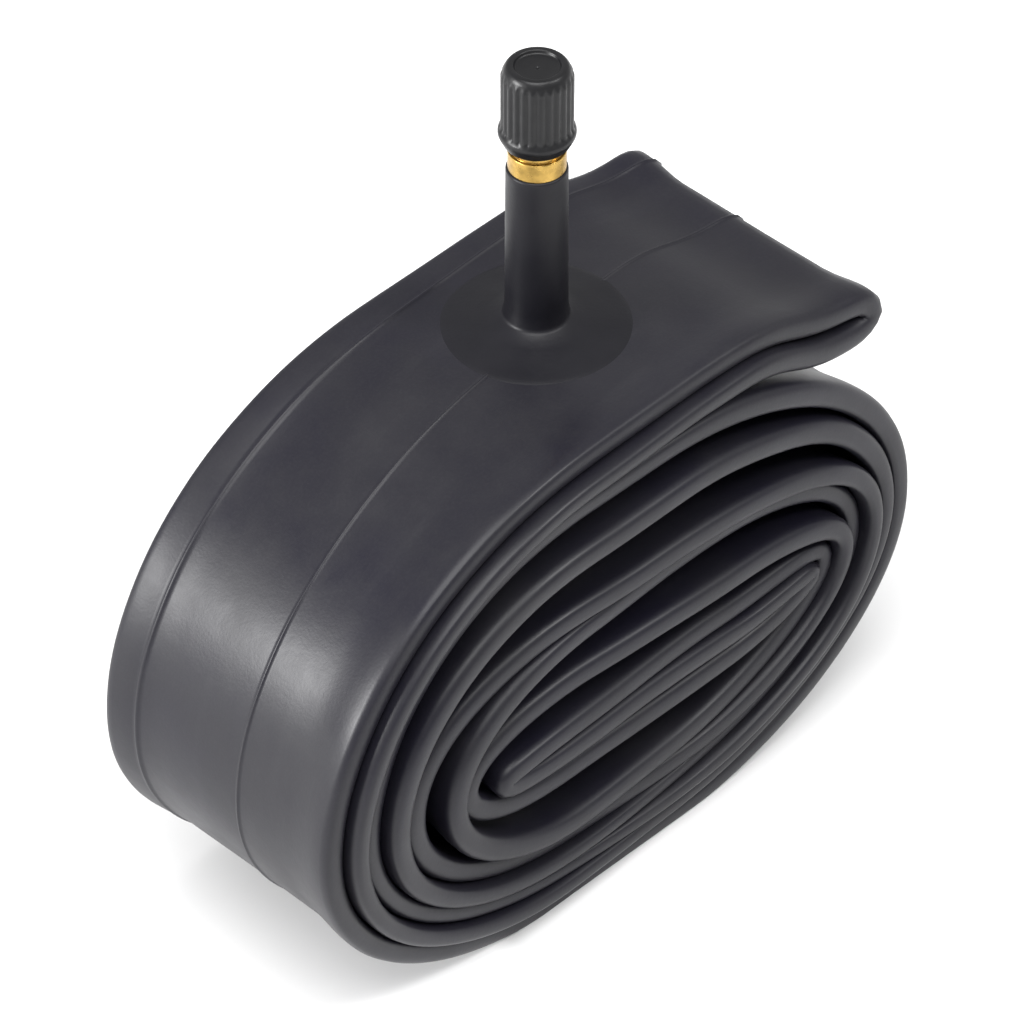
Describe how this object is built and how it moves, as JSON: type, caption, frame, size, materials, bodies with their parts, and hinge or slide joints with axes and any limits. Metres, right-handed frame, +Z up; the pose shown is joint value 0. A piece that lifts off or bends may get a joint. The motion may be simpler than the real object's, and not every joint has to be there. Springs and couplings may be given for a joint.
{
  "type": "bicycle inner tube",
  "caption": "Rolled rubber bicycle inner tube, laid flat as a doubled strip, with a rubber-covered valve that has a working core and a screw cap.",
  "frame": {"origin": "middle of the roll's footprint on the surface it lies on", "axes": "+X along the roll towards its loose end, Y along the roll's axis and the tube's flat width, +Z up along the valve"},
  "size_m": [0.1108, 0.045, 0.1194],
  "materials": {
    "tube_rubber": "satin, with faint talc",
    "stem_rubber": "satin",
    "stem_brass": "machined",
    "core_brass": "machined",
    "pin_brass": "machined",
    "seal_rubber": "matte",
    "spring_steel": "drawn wire",
    "cap_plastic": "moulded, slightly shiny"
  },
  "bodies": {
    "tube": {"rolled_tube": "tube_rubber", "valve_rubber": "stem_rubber", "brass_stem": "stem_brass", "core_plug": "core_brass", "core_barrel": "core_brass", "barrel_seal": "seal_rubber", "core_spring": "spring_steel"},
    "pin": {"core_pin": "pin_brass", "pin_cup": "pin_brass", "pin_gasket": "seal_rubber"},
    "cap_lift": {"cap_seal": "seal_rubber"},
    "cap": {"valve_cap": "cap_plastic"}
  },
  "joints": [
    {"name": "cap_rise", "type": "slide", "parent": "tube", "child": "cap_lift", "axis": [0, 0, 1], "range_m": [0, 0.0095]},
    {"name": "cap_turn", "type": "hinge", "parent": "cap_lift", "child": "cap", "pos_m": [0.00715, 0.0033, 0.1161], "axis": [0, 0, 1], "range_deg": [0, 4320]},
    {"name": "pin_press", "type": "slide", "parent": "tube", "child": "pin", "axis": [0, 0, -1], "range_m": [0, 0.0013], "stiffness_N_per_m": 1000, "deforming": ["core_spring"]}
  ],
  "couplings": [
    {"joint": "cap_turn", "follows": "cap_rise", "rad_per_m": 7915.8}
  ]
}
